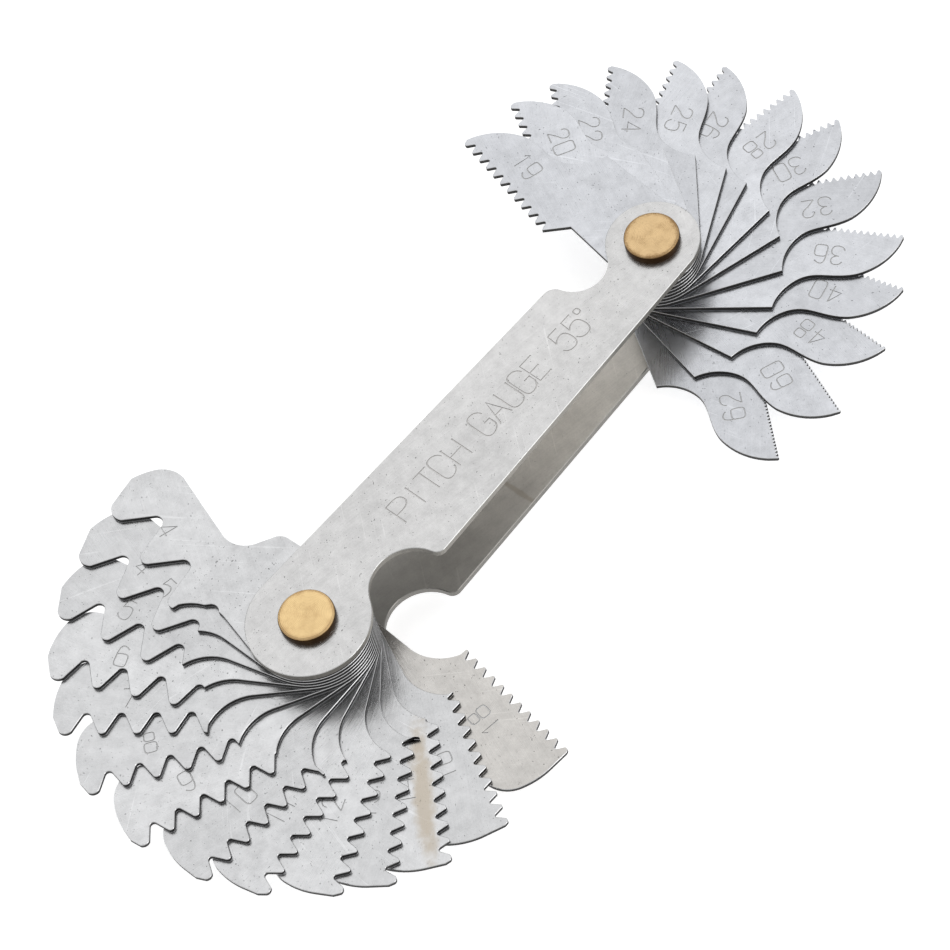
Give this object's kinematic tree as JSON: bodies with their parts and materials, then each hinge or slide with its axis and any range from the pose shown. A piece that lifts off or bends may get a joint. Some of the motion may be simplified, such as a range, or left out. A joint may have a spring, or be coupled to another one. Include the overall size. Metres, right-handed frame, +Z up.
{
  "type": "screw pitch gauge",
  "caption": "Screw pitch gauge: two fans of toothed steel leaves swing on brass rivets at the ends of a flat two-plate case.",
  "frame": {"origin": "middle of the coarse leaves' rivet head on the underside, which the gauge lies on", "axes": "+X from the coarse leaves' pivot to the fine leaves' pivot, +Y across the case, +Z up through the stack along the rivets"},
  "size_m": [0.1085, 0.0549, 0.011],
  "materials": {
    "cover_steel": "satin ground steel with fine scratches",
    "leaf_steel": "satin ground steel with bright cut edges",
    "rivet_brass": "turned brass, worn on its flat heads and darker at its sides"
  },
  "bodies": {
    "case": {"bottom_cover": "cover_steel", "top_cover": "cover_steel", "coarse_rivet": "rivet_brass", "fine_rivet": "rivet_brass"},
    "leaf_4_tpi": {"leaf_4_tpi": "leaf_steel"},
    "leaf_4_5_tpi": {"leaf_4_5_tpi": "leaf_steel"},
    "leaf_5_tpi": {"leaf_5_tpi": "leaf_steel"},
    "leaf_6_tpi": {"leaf_6_tpi": "leaf_steel"},
    "leaf_7_tpi": {"leaf_7_tpi": "leaf_steel"},
    "leaf_8_tpi": {"leaf_8_tpi": "leaf_steel"},
    "leaf_9_tpi": {"leaf_9_tpi": "leaf_steel"},
    "leaf_10_tpi": {"leaf_10_tpi": "leaf_steel"},
    "leaf_11_tpi": {"leaf_11_tpi": "leaf_steel"},
    "leaf_12_tpi": {"leaf_12_tpi": "leaf_steel"},
    "leaf_13_tpi": {"leaf_13_tpi": "leaf_steel"},
    "leaf_14_tpi": {"leaf_14_tpi": "leaf_steel"},
    "leaf_16_tpi": {"leaf_16_tpi": "leaf_steel"},
    "leaf_18_tpi": {"leaf_18_tpi": "leaf_steel"},
    "leaf_19_tpi": {"leaf_19_tpi": "leaf_steel"},
    "leaf_20_tpi": {"leaf_20_tpi": "leaf_steel"},
    "leaf_22_tpi": {"leaf_22_tpi": "leaf_steel"},
    "leaf_24_tpi": {"leaf_24_tpi": "leaf_steel"},
    "leaf_25_tpi": {"leaf_25_tpi": "leaf_steel"},
    "leaf_26_tpi": {"leaf_26_tpi": "leaf_steel"},
    "leaf_28_tpi": {"leaf_28_tpi": "leaf_steel"},
    "leaf_30_tpi": {"leaf_30_tpi": "leaf_steel"},
    "leaf_32_tpi": {"leaf_32_tpi": "leaf_steel"},
    "leaf_36_tpi": {"leaf_36_tpi": "leaf_steel"},
    "leaf_40_tpi": {"leaf_40_tpi": "leaf_steel"},
    "leaf_48_tpi": {"leaf_48_tpi": "leaf_steel"},
    "leaf_60_tpi": {"leaf_60_tpi": "leaf_steel"},
    "leaf_62_tpi": {"leaf_62_tpi": "leaf_steel"}
  },
  "joints": [
    {"name": "swing_4_tpi", "type": "hinge", "parent": "case", "child": "leaf_4_tpi", "pos_m": [0, 0, 0.00551], "axis": [0, 0, 1], "range_deg": [-92, 208]},
    {"name": "swing_4_5_tpi", "type": "hinge", "parent": "case", "child": "leaf_4_5_tpi", "pos_m": [0, 0, 0.00551], "axis": [0, 0, 1], "range_deg": [-105.5, 194.5]},
    {"name": "swing_5_tpi", "type": "hinge", "parent": "case", "child": "leaf_5_tpi", "pos_m": [0, 0, 0.00551], "axis": [0, 0, 1], "range_deg": [-119.5, 180.5]},
    {"name": "swing_6_tpi", "type": "hinge", "parent": "case", "child": "leaf_6_tpi", "pos_m": [0, 0, 0.00551], "axis": [0, 0, 1], "range_deg": [-134.5, 165.5]},
    {"name": "swing_7_tpi", "type": "hinge", "parent": "case", "child": "leaf_7_tpi", "pos_m": [0, 0, 0.00551], "axis": [0, 0, 1], "range_deg": [-148, 152]},
    {"name": "swing_8_tpi", "type": "hinge", "parent": "case", "child": "leaf_8_tpi", "pos_m": [0, 0, 0.00551], "axis": [0, 0, 1], "range_deg": [-164, 136]},
    {"name": "swing_9_tpi", "type": "hinge", "parent": "case", "child": "leaf_9_tpi", "pos_m": [0, 0, 0.00551], "axis": [0, 0, 1], "range_deg": [-181, 119]},
    {"name": "swing_10_tpi", "type": "hinge", "parent": "case", "child": "leaf_10_tpi", "pos_m": [0, 0, 0.00551], "axis": [0, 0, 1], "range_deg": [-197, 103]},
    {"name": "swing_11_tpi", "type": "hinge", "parent": "case", "child": "leaf_11_tpi", "pos_m": [0, 0, 0.00551], "axis": [0, 0, 1], "range_deg": [-210, 90]},
    {"name": "swing_12_tpi", "type": "hinge", "parent": "case", "child": "leaf_12_tpi", "pos_m": [0, 0, 0.00551], "axis": [0, 0, 1], "range_deg": [-225, 75]},
    {"name": "swing_13_tpi", "type": "hinge", "parent": "case", "child": "leaf_13_tpi", "pos_m": [0, 0, 0.00551], "axis": [0, 0, 1], "range_deg": [-236, 64]},
    {"name": "swing_14_tpi", "type": "hinge", "parent": "case", "child": "leaf_14_tpi", "pos_m": [0, 0, 0.00551], "axis": [0, 0, 1], "range_deg": [-248, 52]},
    {"name": "swing_16_tpi", "type": "hinge", "parent": "case", "child": "leaf_16_tpi", "pos_m": [0, 0, 0.00551], "axis": [0, 0, 1], "range_deg": [-262, 38]},
    {"name": "swing_18_tpi", "type": "hinge", "parent": "case", "child": "leaf_18_tpi", "pos_m": [0, 0, 0.00551], "axis": [0, 0, 1], "range_deg": [-282, 18]},
    {"name": "swing_19_tpi", "type": "hinge", "parent": "case", "child": "leaf_19_tpi", "pos_m": [0.055, 0, 0.00551], "axis": [0, 0, 1], "range_deg": [-266, 34]},
    {"name": "swing_20_tpi", "type": "hinge", "parent": "case", "child": "leaf_20_tpi", "pos_m": [0.055, 0, 0.00551], "axis": [0, 0, 1], "range_deg": [-250.5, 49.5]},
    {"name": "swing_22_tpi", "type": "hinge", "parent": "case", "child": "leaf_22_tpi", "pos_m": [0.055, 0, 0.00551], "axis": [0, 0, 1], "range_deg": [-239.5, 60.5]},
    {"name": "swing_24_tpi", "type": "hinge", "parent": "case", "child": "leaf_24_tpi", "pos_m": [0.055, 0, 0.00551], "axis": [0, 0, 1], "range_deg": [-224.5, 75.5]},
    {"name": "swing_25_tpi", "type": "hinge", "parent": "case", "child": "leaf_25_tpi", "pos_m": [0.055, 0, 0.00551], "axis": [0, 0, 1], "range_deg": [-208.5, 91.5]},
    {"name": "swing_26_tpi", "type": "hinge", "parent": "case", "child": "leaf_26_tpi", "pos_m": [0.055, 0, 0.00551], "axis": [0, 0, 1], "range_deg": [-196.5, 103.5]},
    {"name": "swing_28_tpi", "type": "hinge", "parent": "case", "child": "leaf_28_tpi", "pos_m": [0.055, 0, 0.00551], "axis": [0, 0, 1], "range_deg": [-178.5, 121.5]},
    {"name": "swing_30_tpi", "type": "hinge", "parent": "case", "child": "leaf_30_tpi", "pos_m": [0.055, 0, 0.00551], "axis": [0, 0, 1], "range_deg": [-164.5, 135.5]},
    {"name": "swing_32_tpi", "type": "hinge", "parent": "case", "child": "leaf_32_tpi", "pos_m": [0.055, 0, 0.00551], "axis": [0, 0, 1], "range_deg": [-146.5, 153.5]},
    {"name": "swing_36_tpi", "type": "hinge", "parent": "case", "child": "leaf_36_tpi", "pos_m": [0.055, 0, 0.00551], "axis": [0, 0, 1], "range_deg": [-127.5, 172.5]},
    {"name": "swing_40_tpi", "type": "hinge", "parent": "case", "child": "leaf_40_tpi", "pos_m": [0.055, 0, 0.00551], "axis": [0, 0, 1], "range_deg": [-113.5, 186.5]},
    {"name": "swing_48_tpi", "type": "hinge", "parent": "case", "child": "leaf_48_tpi", "pos_m": [0.055, 0, 0.00551], "axis": [0, 0, 1], "range_deg": [-97.5, 202.5]},
    {"name": "swing_60_tpi", "type": "hinge", "parent": "case", "child": "leaf_60_tpi", "pos_m": [0.055, 0, 0.00551], "axis": [0, 0, 1], "range_deg": [-78.5, 221.5]},
    {"name": "swing_62_tpi", "type": "hinge", "parent": "case", "child": "leaf_62_tpi", "pos_m": [0.055, 0, 0.00551], "axis": [0, 0, 1], "range_deg": [-60.5, 239.5]}
  ]
}
